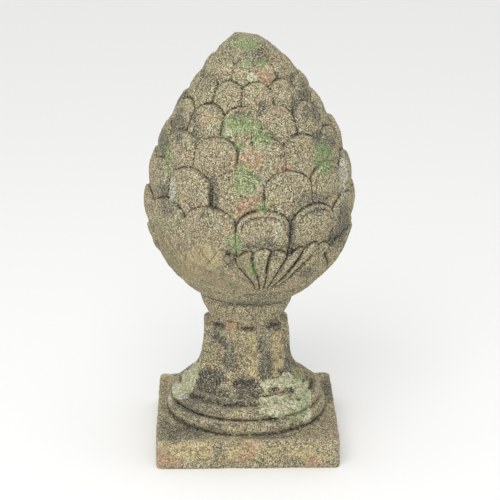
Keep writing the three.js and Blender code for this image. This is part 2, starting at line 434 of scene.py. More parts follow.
def axis_at(share):
    """How far right of the shaft the cone's own axis lies, which bends to the left near the tip."""
    return CONE_OFFSET + TIP_OFFSET * np.clip(share, 0, 1) ** TIP_BEND


def on_cone(turn, share, depth):
    """Places on the cone, one row of x, y and z for each point."""
    radius = CONE_RADIUS * outline(share) - depth
    angle = np.radians(turn)
    x = axis_at(share) + radius * np.sin(angle)
    return np.stack([x, -radius * np.cos(angle), cone_foot + CONE_HEIGHT * share], axis=-1)


def points_of(piece):
    places = np.empty(3 * len(piece.data.vertices), np.float32)
    piece.data.vertices.foreach_get("co", places)
    return places.reshape(-1, 3).astype(float)


def normals_of(piece):
    normals = np.empty(3 * len(piece.data.vertices), np.float32)
    piece.data.vertices.foreach_get("normal", normals)
    return normals.reshape(-1, 3).astype(float)


def set_points(piece, places):
    piece.data.vertices.foreach_set("co", places.astype(np.float32).ravel())
    piece.data.update()


print("widest at", round(float(rises[np.argmax(widths)] * CONE_HEIGHT / MM)), "mm above the collar")

# %% [markdown]
# The core is the egg that shows in the bowl under the leaves and closes the gaps between scales. Its
# profile is spun, with the carving's ground sunk under the outline and a small undercut below the
# leaves. Near the tip the carving is worn away, so the core comes up to the outline there.

# %% Core of the cone
GROUND_DEPTH = 9 * MM
LEAF_ROOT = 0.102
LEAF_GROUND = 1.2 * MM
LEDGE_DEPTH = 1.8 * MM
UNDERCUT_STARTS = (0.05, 0.07)
LEDGE = (0.07, 0.08)
CARVING_STARTS = (0.132, 0.262)
CARVING_ENDS = (0.84, 0.93)
OFFSET_STARTS = -0.02
CORE_RINGS = 60
CORE_SIDES = 120


def ground(share):
    """How deep the core lies under the outline."""
    undercut = LEDGE_DEPTH * between(share, UNDERCUT_STARTS, LEDGE)
    leaves = LEAF_GROUND * smooth(share, LEDGE[1], LEAF_ROOT)
    carved = between(share, CARVING_STARTS, CARVING_ENDS)
    return undercut + leaves + (GROUND_DEPTH - LEAF_GROUND) * carved


def make_core():
    inside_collar = cone_foot - COLLAR_HEIGHT / 2
    profile = [(0, inside_collar), (0.7 * COLLAR_RADIUS, inside_collar)]
    for share in np.linspace(0, 1, CORE_RINGS):
        radius = CONE_RADIUS * outline(share) - ground(share)
        profile.append((float(radius), float(cone_foot + CONE_HEIGHT * share)))
    profile.append((0, cone_foot + CONE_HEIGHT))
    core = turned("core form", profile, CORE_SIDES)
    places = points_of(core)
    share = (places[:, 2] - cone_foot) / CONE_HEIGHT
    places[:, 0] += axis_at(share) * smooth(share, OFFSET_STARTS, 0)
    set_points(core, places)
    return core


core = make_core()
forms.append(core)
print("core has", len(core.data.vertices), "points")

# %% [markdown]
# A scale is a shield with a round top, a blunt lip and a low dome with a boss in the middle.
# It is modelled once, flat, in real millimetres of the widest row: a disc is stretched into a shield,
# extruded for its wall, and then inset and moved ring by ring, as one would press a shape into clay.

# %% One scale
SCALE_HALF_WIDTH = 30 * MM
SCALE_ARCH = 20 * MM
SCALE_SIDES = 34 * MM
SCALE_WALL = 12 * MM
SCALE_POINTS = 40
# Each step: how far the ring is inset, and how far it rises.
RIM_STEPS = [
    (1.0 * MM, 1.2 * MM),
    (2.0 * MM, 1.2 * MM),
    (2.4 * MM, 0.6 * MM),
    (1.6 * MM, 0.0 * MM),
    (2.4 * MM, 0.6 * MM),
    (4.0 * MM, 0.7 * MM),
    (5.0 * MM, 0.3 * MM),
]


def make_scale():
    deselect()
    bpy.ops.mesh.primitive_circle_add(vertices=SCALE_POINTS, radius=SCALE_HALF_WIDTH, fill_type="NGON")
    scale = started("scale")
    squash = SCALE_ARCH / SCALE_HALF_WIDTH
    edit(scale)
    bpy.ops.mesh.select_all(action="SELECT")
    bpy.ops.transform.resize(value=(1, squash, 1), center_override=(0, 0, 0))
    choose(scale, lambda point: point.y < -SAME_POINT)
    bpy.ops.transform.translate(value=(0, -SCALE_SIDES, 0))
    bpy.ops.mesh.select_all(action="SELECT")
    bpy.ops.transform.translate(value=(0, -SCALE_ARCH, -SCALE_WALL))
    bpy.ops.mesh.extrude_region_move(
        TRANSFORM_OT_translate={"value": (0, 0, SCALE_WALL - RIM_STEPS[0][1])}
    )
    for inset, rise in RIM_STEPS:
        bpy.ops.mesh.inset(thickness=inset, depth=0)
        bpy.ops.transform.translate(value=(0, 0, rise))
    bpy.ops.mesh.poke()
    bpy.ops.mesh.select_all(action="SELECT")
    bpy.ops.mesh.normals_make_consistent(inside=False)
    done()
    apply(scale, "SUBSURF", levels=2, render_levels=2)
    return scale


scale = make_scale()
print("a scale is", round(scale.dimensions.z / MM, 1), "mm deep")

# %% [markdown]
# The scale is then copied round the cone, row by row from the widest up. Each copy has its own mesh,
# whose flat points are laid on the egg: sideways becomes a turn, and lengthways a share of the height.
# A row's step is a share of the outline where it starts, so the scales shrink towards the tip, and odd
# rows stand over the joints of the row below. Every scale leans back under the row below it. A little
# seeded irregularity keeps the rows from looking machine made, and three scales on the front that have
# kept their edges are named by row and number.

# %% Rows of scales
ROWS = 7
SCALES_ROUND = 12
FIRST_TIP = 0.4325
ROW_STEP = 0.13
FRONT_TURN = 6.5
SCALE_STEP = 4.8 * MM
SIDE_STEP = 2.2 * MM
SCALE_REACH = 52 * MM
FARTHEST_BEHIND = 1.4
LEAN_CURVE = 1.6
SIDE_CURVE = 3
FACE_END = 44 * MM
FACE_FADE = 20 * MM
FACE_LOST = 0.9
FACE_DEPTH = 2 * MM
TIP_CUT = 0.32
LEAST_RELIEF = 0.35
RELIEF_SPREAD = 0.45
TURN_SPREAD = 0.9
HEIGHT_SPREAD = 1.6 * MM
LOWEST_LIFT = -0.6 * MM
HIGHEST_LIFT = 0.8 * MM
SCALE_SEED = 7
CRISP_SCALES = {(0, 0): 0.7, (0, 1): 1.1, (1, 1): 0.8}

pitch = 360 / SCALES_ROUND
tips = [FIRST_TIP]
while len(tips) < ROWS:
    tips.append(tips[-1] + ROW_STEP * float(outline(tips[-1])))


def copy_of(piece, name):
    twin = bpy.data.objects.new(name, piece.data.copy())
    bpy.context.collection.objects.link(twin)
    return twin


def place_scales():
    """Where each scale goes: its row, number, middle turn, tip height, lift and luck with the weather."""
    chance = random.Random(SCALE_SEED)
    places = []
    for row in range(ROWS):
        for number in range(SCALES_ROUND):
            centre = FRONT_TURN + pitch * (number + row % 2 / 2)
            centre += chance.uniform(-TURN_SPREAD, TURN_SPREAD)
            tip = tips[row] + chance.uniform(-HEIGHT_SPREAD, HEIGHT_SPREAD) / CONE_HEIGHT
            lift = chance.uniform(LOWEST_LIFT, HIGHEST_LIFT)
            places.append((row, number, centre, tip, lift, chance.random()))
    return places


def row_size(row):
    return float(outline(tips[row]) / outline(FIRST_TIP))


def lay_scale(row, number, centre, tip, lift, luck):
    """One scale, laid on the cone in its row."""
    cut = TIP_CUT + (1 - TIP_CUT) * float(outline(tip))
    relief = CRISP_SCALES.get((row, number), LEAST_RELIEF + RELIEF_SPREAD * luck)
    twin = copy_of(scale, f"scale {row} {number}")
    x, y, z = points_of(twin).T
    sideways = x / SCALE_HALF_WIDTH
    turn = centre + sideways * pitch / 2
    share = tip + y * row_size(row) / CONE_HEIGHT
    behind = np.clip(-y / SCALE_REACH, 0, FARTHEST_BEHIND) ** LEAN_CURVE
    sunk = cut * (SIDE_STEP * np.abs(sideways) ** SIDE_CURVE + SCALE_STEP * behind)
    face = np.maximum(z, -FACE_DEPTH)
    wall = z - face
    face = face * (1 - FACE_LOST * smooth(-y, FACE_END - FACE_FADE, FACE_END))
    set_points(twin, on_cone(turn, share, sunk - cut * (wall + relief * face) - lift))
    return twin


scale_places = place_scales()
forms.extend([lay_scale(*place) for place in scale_places])
bpy.data.objects.remove(scale)
print("scale rows end at", [round(tip * CONE_HEIGHT / MM) for tip in tips], "mm above the collar")

# %% [markdown]
# Under the widest row six fans of ribs spread up from the bowl, each rib ending in a round lobe. A rib
# is a cone with a bevelled end, subdivided lengthways so that it can bend. It is made one unit long and
# is laid along its place in the fan. While the bevel is made the cone is ten times as long, so that the
# lobe stays short on the finished rib.

# %% Leaves
LEAVES_ROUND = 6
RIBS_A_LEAF = 6
LOBE_TOP = 0.285
LOBE_DROP = 0.03
LEAF_TURN = 21.5
LEAF_GATHER = 0.24
LEAF_LEAN = -10
RIB_HEIGHT = 5 * MM
RIB_ROOT = 0.45
RIB_SIDES = 20
RIB_STRETCH = 10
RIB_ROUNDING = 0.95
RIB_ROUNDING_STEPS = 6
RIB_CUTS = 14
FAN_WIDENS = (-0.2, 0.95)


def make_rib():
    deselect()
    turn_down = (-math.pi / 2, 0, 0)
    bpy.ops.mesh.primitive_cone_add(
        vertices=RIB_SIDES,
        radius1=RIB_ROOT,
        radius2=1,
        depth=1,
        location=(0, 0.5, 0),
        rotation=turn_down,
    )
    rib = started("rib")
    edit(rib)
    bpy.ops.mesh.select_all(action="SELECT")
    bpy.ops.transform.resize(value=(1, RIB_STRETCH, 1), center_override=(0, 0, 0))
    choose(rib, lambda point: point.y > 0.99 * RIB_STRETCH)
    bpy.ops.mesh.bevel(offset=RIB_ROUNDING, segments=RIB_ROUNDING_STEPS, affect="EDGES")
    choose_edges(rib, lambda a, b: abs(a.y - b.y) > RIB_STRETCH / 2)
    bpy.ops.mesh.subdivide(number_cuts=RIB_CUTS)
    bpy.ops.mesh.select_all(action="SELECT")
    bpy.ops.transform.resize(value=(1, 1 / RIB_STRETCH, 1), center_override=(0, 0, 0))
    done()
    return rib


rib = make_rib()
leaf_pitch = 360 / LEAVES_ROUND
rib_pitch = leaf_pitch / RIBS_A_LEAF


def lobe_top(turn):
    """The share of the height where the leaves end, which arches under each scale."""
    off = np.abs((turn - FRONT_TURN + pitch / 2) % pitch - pitch / 2) / (pitch / 2)
    return LOBE_TOP - LOBE_DROP * off**2


def gathered(y):
    """How much narrower the fan is at a share of a rib's length than at the lobes."""
    return LEAF_GATHER + (1 - LEAF_GATHER) * smooth(y, *FAN_WIDENS)


def lay_rib(leaf, number):
    twin = copy_of(rib, f"rib {leaf} {number}")
    x, y, z = points_of(twin).T
    place = (number - RIBS_A_LEAF / 2 + 0.5 + 0.5 * x) * rib_pitch
    centre = LEAF_TURN + leaf_pitch * leaf
    turn = centre + place * gathered(y) + LEAF_LEAN * (1 - y)
    share = LEAF_ROOT + (lobe_top(centre + place) - LEAF_ROOT) * y
    crest = RIB_ROOT + (1 - RIB_ROOT) * np.clip(y, 0, 1)
    set_points(twin, on_cone(turn, share, RIB_HEIGHT * (crest - z)))
    return twin


ribs = [lay_rib(leaf, number) for leaf in range(LEAVES_ROUND) for number in range(RIBS_A_LEAF)]
forms.extend(ribs)
bpy.data.objects.remove(rib)
print(len(ribs), "ribs laid")

# %% [markdown]
# All forms are joined and remeshed with voxels. That is how clay behaves: where two forms meet, one
# skin goes over both, with no seam inside, which suits a casting. The voxels are a little over a
# millimetre, so that the thin cracks between scales survive. Then the tip is cut off aslant, because
# the real tip is worn to a slope with its peak on the left. Each cut is a plane, and the list says how
# far to the right of the peak and behind it the plane passes, how far it is under the top there, and
# how steeply it falls to the right and to the back, in degrees.

# %% Join the forms into one casting
VOXEL = 1.1 * MM
PEAK_OFFSET = -8.5 * MM
TIP_CUTS = [
    (0, 0, 0, 7, 0),
    (7 * MM, 0, 0.8 * MM, 13, 0),
    (13 * MM, 0, 2.1 * MM, 19, 0),
    (19 * MM, 0, 4.2 * MM, 26, 0),
    (26 * MM, 0, 7.6 * MM, 36, 0),
    (-2 * MM, 0, 1 * MM, -42, 0),
    (0, 3 * MM, 0, 7, 8),
    (0, 9 * MM, 0.9 * MM, 7, 28),
    (0, -1 * MM, 0, 7, -16),
    (0, -6 * MM, 1.6 * MM, 7, -26),
]


def make_casting():
    deselect()
    for form in forms:
        form.select_set(True)
    bpy.context.view_layer.objects.active = forms[0]
    bpy.ops.object.join()
    casting = bpy.context.object
    casting.name = "weathered_casting"
    casting.data.name = "weathered_casting"
    voxel = VOXEL
    apply(casting, "REMESH", mode="VOXEL", voxel_size=voxel, use_smooth_shade=True)
    edit(casting)
    for right, back, drop, right_slope, back_slope in TIP_CUTS:
        bpy.ops.mesh.select_all(action="SELECT")
        slopes_down = (math.tan(math.radians(slope)) for slope in (right_slope, back_slope))
        cut = Vector((*slopes_down, 1)).normalized()
        place = Vector((PEAK_OFFSET + right, back, casting_high.z - drop))
        bpy.ops.mesh.bisect(plane_co=place, plane_no=cut, use_fill=True, clear_outer=True)
    bpy.ops.mesh.select_all(action="SELECT")
    bpy.ops.mesh.quads_convert_to_tris()
    done()
    return casting


casting = make_casting()
print("one casting of", len(casting.data.polygons), "faces")

# %% [markdown]
# Low on the left of the front, frost has worn the carving nearly away. The skin's points there are
# brought close to one smooth egg: how deep each point lies under the outline is worked out, and only a
# small share of the difference to an even depth is kept.

# %% Worn patch
WORN_TURN = -45
WORN_HALF_TURN = 42
WORN_SHARE = 0.2
WORN_HALF_SHARE = 0.19
WORN_AWAY = 0.88
WORN_EDGE = 0.5
WORN_DEPTH = 2.2 * MM


def kept(turn, share):
    """How much of the carving's depth is left."""
    across = ((turn - WORN_TURN + 180) % 360 - 180) / WORN_HALF_TURN
    up = (share - WORN_SHARE) / WORN_HALF_SHARE
    return 1 - WORN_AWAY * smooth(1 - np.hypot(across, up), 0, WORN_EDGE)


def cone_numbers(piece):
    """The turn, the share of the height and the radius of each point, about the cone's own axis."""
    places = points_of(piece)
    share = (places[:, 2] - cone_foot) / CONE_HEIGHT
    off_x = places[:, 0] - axis_at(share)
    return np.degrees(np.arctan2(off_x, -places[:, 1])), share, np.hypot(off_x, places[:, 1])


def wear_patch(piece):
    places = points_of(piece)
    turn, share, radius = cone_numbers(piece)
    off_x = places[:, 0] - axis_at(share)
    radius = np.maximum(radius, MM)
    depth = CONE_RADIUS * outline(share) - radius
    left = np.where(share > 0, kept(turn, share), 1)
    new_radius = CONE_RADIUS * outline(share) - (WORN_DEPTH + (depth - WORN_DEPTH) * left)
    new_radius = np.where(left < 1, new_radius, radius)
    places[:, 0] = axis_at(share) + off_x * new_radius / radius
    places[:, 1] *= new_radius / radius
    set_points(piece, places)
    return int((left < 0.5).sum())


print(wear_patch(casting), "points are worn nearly smooth")

# %% [markdown]
# Voxels round off the thin joints between scales, so these are cut in again with a fine line, as a
# carver does who goes over a clay model. The outline of a scale is known from its numbers, which gives
# the distance from any point of the skin to the nearest edge that shows: that of the lowest scale over
# it, or of a scale still lower. A crisp scale also has a fine line inside its rim, which dies out
# towards its foot.

# %% Joints between scales
JOINT_WIDTH = 1.9 * MM
JOINT_DEPTH = 1.6 * MM
JOINT_REACH = 8 * MM
RIM_INSET = 6.5 * MM
RIM_REACH = 21 * MM
RIM_FADE = 0.25
RIM_DEPTH = 1.2 * MM
FAR = 1.0


def outside_scale(x, y):
    """The distance outside the flat outline of a scale, less than 0 inside it."""
    arch = y + SCALE_ARCH
    reach = np.hypot(x / SCALE_HALF_WIDTH, arch / SCALE_ARCH)
    slope = np.hypot(x / SCALE_HALF_WIDTH**2, arch / SCALE_ARCH**2)
    round_top = (reach - 1) * reach / np.maximum(slope, 1e-6)
    return np.where(arch > 0, round_top, np.abs(x) - SCALE_HALF_WIDTH)


def cloud_over(places, size):
    """Soft noise at every point, about -1 to 1."""
    return np.array([noise.noise(Vector(place) / size) for place in places])


def joints_of(piece):
    """Distances to the nearest joint, less than 0 on one side, to a rim line and to a crisp scale."""
    turn, share, _ = cone_numbers(piece)
    nearest, rim, crisp = (np.full(len(turn), FAR) for _ in range(3))
    still_open = np.ones(len(turn), bool)
    for row in range(ROWS):
        size = row_size(row)
        first, second = (np.full(len(turn), FAR) for _ in range(2))
        side = np.ones(len(turn))
        for number, centre, tip in [place[1:4] for place in scale_places if place[0] == row]:
            x = ((turn - centre + 180) % 360 - 180) / (pitch / 2) * SCALE_HALF_WIDTH
            out = outside_scale(x, (share - tip) * CONE_HEIGHT / size) * size
            if (row, number) in CRISP_SCALES:
                below = np.maximum((tip - share) * CONE_HEIGHT / size - RIM_REACH, 0)
                away = np.abs(out + RIM_INSET * size) + RIM_FADE * below
                rim = np.where(still_open & (out < 0), away, rim)
                crisp = np.where(still_open, np.minimum(crisp, out), crisp)
            second = np.where(out < first, first, np.minimum(second, out))
            side = np.where(out < first, 1 - 2 * (number % 2), side)
            first = np.minimum(first, out)
        touching = (first < 0) & (second < JOINT_REACH)
        between_two = np.where(touching, (second - first) / 2 * side, FAR)
        for gap in (first, between_two):
            nearest = np.where(still_open & (np.abs(gap) < np.abs(nearest)), gap, nearest)
        still_open &= first > 0
    return nearest, rim, crisp


# %% [markdown]
# The leaves get the same treatment: a groove between two ribs, and a line round the top of each lobe.
# The worn patch once had such a fan too. All that is left of it there are dark streaks up the bowl, so
# each point is told which streak it lies on, and the stone's colour draws them.

# %% Grooves of the leaves and streaks of the worn fan
LOBE_ROUND = 0.019
GROOVES_FROM = 0.092
STREAK_PITCH = 3.2
STREAKS_START = (0.085, 0.115)
STREAKS_END = (0.25, 0.31)
STREAKS_LEFT_FROM = (-8, 4)
STREAKS_LEFT_TO = (65, 90)


def in_fan(turn, share):
    """How far along a rib each point lies, and its turn from the middle line of the first leaf."""
    along = np.clip((share - LEAF_ROOT) / (lobe_top(turn) - LEAF_ROOT), 0, 1)
    return along, turn - LEAF_TURN - LEAF_LEAN * (1 - along)


def leaf_grooves_of(piece):
    """The distance to the nearest groove between ribs or round a lobe, less than 0 on one side."""
    turn, share, radius = cone_numbers(piece)
    along, off = in_fan(turn, share)
    off = (off + leaf_pitch / 2) % leaf_pitch - leaf_pitch / 2
    ribs_off = off / gathered(along) / rib_pitch
    past = np.maximum(np.abs(ribs_off) - RIBS_A_LEAF / 2, 0)
    side = ribs_off - np.clip(np.round(ribs_off), -RIBS_A_LEAF / 2, RIBS_A_LEAF / 2)
    aside = side * np.radians(rib_pitch * gathered(along)) * radius
    within = 2 * (ribs_off - np.floor(ribs_off)) - 1
    round_top = lobe_top(turn) - LOBE_ROUND * (1 - np.sqrt(1 - within**2))
    over = (share - round_top) * CONE_HEIGHT
    groove = np.where((over > 0) | (np.abs(over) < np.abs(aside)), over, aside)
    return np.where((share > GROOVES_FROM) & (past < 0.5), groove, FAR)


def streaks_of(piece):
    """Which streak of the worn fan on the left of the front a point lies on, and how clear it is."""
    turn, share, _ = cone_numbers(piece)
    along, off = in_fan(turn, share)
    clear = between(share, STREAKS_START, STREAKS_END)
    clear = clear * between(-turn, STREAKS_LEFT_FROM, STREAKS_LEFT_TO)
    return off / gathered(along) / STREAK_PITCH, clear


print(int((streaks_of(casting)[1] > 0.5).sum()), "points lie on clear streaks")

# %% [markdown]
# The joints are deep in some places and nearly filled with dirt in others, so a cloud of noise says how
# fresh a joint still is. Those of the crisp scales are fresh all over, and in the worn patch they fade
# out. The points near a joint are then pushed in along their normals.

# %% Cut the joints
JOINT_CLOUD = 26 * MM
FRESHNESS = 0.6
FRESHNESS_SPREAD = 1.3
LEAST_FRESHNESS = 0.12
CRISP_FRESHNESS = 0.9
GROOVE_FRESHNESS = 0.6
WORN_GROOVE = 0.42
WORN_JOINTS_UP = 0.08
SCALES_START = (0.24, 0.29)
SCALES_END = (0.82, 0.93)
GROOVES_START = (0.087, 0.107)
GROOVES_END = (0.25, 0.28)
LOBES_REACH = 0.012
LEAVES_ONLY = 0.01


def joint_strength(piece, crisp):
    """How deep a joint is cut at each point, 0 off the scales and 1 where it is fresh."""
    turn, share, _ = cone_numbers(piece)
    freshness = FRESHNESS + FRESHNESS_SPREAD * cloud_over(points_of(piece), JOINT_CLOUD)
    freshness = np.clip(freshness, LEAST_FRESHNESS, 1)
    freshness = np.where(crisp < JOINT_WIDTH, CRISP_FRESHNESS, freshness)
    left = np.minimum(kept(turn, share), kept(turn, share - WORN_JOINTS_UP))
    on_scales = between(share, SCALES_START, SCALES_END) * left
    on_leaves = between(share, GROOVES_START, GROOVES_END) * np.maximum(left, WORN_GROOVE)
    return freshness * on_scales + np.maximum(freshness, GROOVE_FRESHNESS) * on_leaves


def all_joints_of(piece):
    """Joints and leaf grooves together, the rim lines, and how strong both are."""
    nearest, rim, crisp = joints_of(piece)
    turn, share, _ = cone_numbers(piece)
    groove = leaf_grooves_of(piece)
    nearer = (share < lobe_top(turn) + LOBES_REACH) & (np.abs(groove) < np.abs(nearest))
    nearest = np.where(nearer | (share < lobe_top(turn) - LEAVES_ONLY), groove, nearest)
    return nearest, rim, joint_strength(piece, crisp)


def cut_joints(piece):
    nearest, rim, strength = all_joints_of(piece)
    nearest = np.abs(nearest)
    line = JOINT_DEPTH * (1 - smooth(nearest, 0, JOINT_WIDTH))
    arc = RIM_DEPTH * (1 - smooth(rim, 0, JOINT_WIDTH))
    inwards = strength * np.maximum(line, arc)
    set_points(piece, points_of(piece) - normals_of(piece) * inwards[:, None])
    return nearest


# %% [markdown]
# Weather has rounded every edge and left the surface lumpy and pitted. The skin is relaxed a little and
# then pushed in and out by three clouds of noise: broad lumps, finger-sized hollows, and pits where
# sand has fallen out. Only then are the joints cut, so that they stay clear. After that the mesh is
# thinned, which takes faces from the smooth stretches first and hardly any from the joints, and the
# underside is pressed flat again, because the finial stands on it. Thinning can leave slivers and loose
# faces behind. They are cleared away and the small holes are closed, so that the skin is one closed
# form.

# %% Weathering
WEAR = [
    ("lumps", 38 * MM, 1.4 * MM),
    ("hollows", 11 * MM, 1.1 * MM),
    ("pits", 4.0 * MM, 0.6 * MM),
]
MOST_TRIANGLES = 190000
THINNING_FACTOR = 0.0001
GUARDED = 1.3 * JOINT_WIDTH
GUARDED_WEIGHT = 0.01
FLAT_BELOW = 1.2 * MM
TOP_BAND = 2.4 * MM
SLIVER = 0.02 * MM


def weather(piece):
    apply(piece, "SMOOTH", factor=0.5, iterations=2)
    for name, size, depth in WEAR:
        cloud = bpy.data.textures.new(name, "CLOUDS")
        cloud.noise_scale = size
        cloud.noise_depth = 1
        apply(piece, "DISPLACE", texture=cloud, strength=depth, mid_level=0.5, texture_coords="LOCAL")
    near_joint = cut_joints(piece) < GUARDED
    guard = piece.vertex_groups.new(name="free to thin")
    guard.add(np.flatnonzero(~near_joint).tolist(), 1.0, "REPLACE")
    guard.add(np.flatnonzero(near_joint).tolist(), GUARDED_WEIGHT, "REPLACE")
    ratio = min(1, MOST_TRIANGLES / len(piece.data.polygons))
    weights = {"vertex_group": guard.name, "vertex_group_factor": THINNING_FACTOR}
    apply(piece, "DECIMATE", ratio=ratio, **weights)
    piece.vertex_groups.clear()
    edit(piece)
    choose(piece, lambda point: point.z < FLAT_BELOW)
    bpy.ops.transform.resize(value=(1, 1, 0), center_override=(0, 0, 0))
    done()


def clear_loose_bits(piece):
    """Takes out slivers and whatever hangs loose, and closes the holes that they leave."""
    edit(piece)
    bpy.ops.mesh.select_all(action="SELECT")
    bpy.ops.mesh.dissolve_degenerate(threshold=SLIVER)
    bpy.ops.mesh.select_all(action="SELECT")
    bpy.ops.mesh.remove_doubles(threshold=SLIVER)
    shape = bmesh.from_edit_mesh(piece.data)
    flaps = [face for face in shape.faces if any(edge.is_boundary for edge in face.edges)]
    bmesh.ops.delete(shape, geom=flaps, context="FACES")
    bmesh.update_edit_mesh(piece.data)
    choose(piece, lambda point: point.z > casting_high.z - TOP_BAND)
    bpy.ops.mesh.select_linked()
    bpy.ops.mesh.select_all(action="INVERT")
    bpy.ops.mesh.delete(type="VERT")
    bpy.ops.mesh.select_all(action="SELECT")
    bpy.ops.mesh.delete_loose(use_verts=True, use_edges=True, use_faces=False)
    bpy.ops.mesh.select_all(action="SELECT")
    bpy.ops.mesh.fill_holes(sides=0)
    bpy.ops.mesh.select_all(action="SELECT")
    bpy.ops.mesh.quads_convert_to_tris()
    done()


weather(casting)
clear_loose_bits(casting)
bpy.ops.object.shade_smooth()
print("worn to", len(casting.data.polygons), "triangles")

# %% [markdown]
# Dirt gathers where water stands and brushes don't reach, and shade falls in the same hollows. To find
# such places, a smoothed copy of the skin's points is compared with the skin: a point that lies under
# its smoothed neighbourhood is in a hollow, and one that lies over it is on an edge that gets rubbed.
# Two amounts of smoothing give thin cracks and broad recesses. These are stored on the mesh as
# attributes for the stone to read, with the joints, rim lines and streaks. The stone paints the cracks
# and recesses darker, as dirt and as painted shade, and the rubbed edges lighter, as wear and as a
# painted highlight.

# %% Find hollows and cracks
CRACK_ROUNDS = 6
RECESS_ROUNDS = 40
CRACK_DEPTH = 0.45 * MM
RECESS_DEPTH = 1.6 * MM
RELAX_SHARE = 0.6
RIM_DARKNESS = 0.8

stored = []


def relaxed(piece, places, rounds):
    """The points after so many rounds of moving each to the mean of its neighbours."""
    ends = np.empty(2 * len(piece.data.edges), np.int32)
    piece.data.edges.foreach_get("vertices", ends)
    a, b = ends.reshape(-1, 2).T
    count = np.bincount(a, minlength=len(places)) + np.bincount(b, minlength=len(places))
    for _ in range(rounds):
        total = np.empty_like(places)
        for axis in range(3):
            total[:, axis] = np.bincount(a, places[b, axis], len(places))
            total[:, axis] += np.bincount(b, places[a, axis], len(places))
        places = (1 - RELAX_SHARE) * places + RELAX_SHARE * total / count[:, None]
    return places


def store(piece, name, values):
    """Keeps a number for each point on the mesh, under a name that the material can read."""
    stored.append(name)
    attribute = piece.data.attributes.new(name, "FLOAT", "POINT")
    attribute.data.foreach_set("value", values.astype(np.float32))


places = points_of(casting)
normals = normals_of(casting)
# Cracks and recesses are darkened as dirt and as painted shade. Rubbed edges are lightened as wear and as
# a painted highlight.
crack_dirt_and_shade = ((relaxed(casting, places, CRACK_ROUNDS) - places) * normals).sum(axis=1) / CRACK_DEPTH
recess_dirt_and_shade = ((relaxed(casting, places, RECESS_ROUNDS) - places) * normals).sum(axis=1) / RECESS_DEPTH
joint, rim, fresh = all_joints_of(casting)
store(casting, "crack_dirt_and_shade", np.clip(crack_dirt_and_shade, 0, 1))
store(casting, "recess_dirt_and_shade", np.clip(recess_dirt_and_shade, 0, 1))
store(casting, "worn_edge_and_highlight", np.clip(-crack_dirt_and_shade, 0, 1))
store(casting, "joint_side", np.clip(joint / JOINT_REACH, -1, 1))
store(casting, "joint_near", fresh * (1 - smooth(np.abs(joint), 0, 2 * JOINT_WIDTH)))
streak, clear = streaks_of(casting)
store(casting, "streak", streak)
store(casting, "streak_clear", clear)
store(casting, "rim_line", RIM_DARKNESS * fresh * (1 - smooth(rim, 0, JOINT_WIDTH)))
print("cracks on", int((crack_dirt_and_shade > 0.5).sum()), "of", len(places), "points")
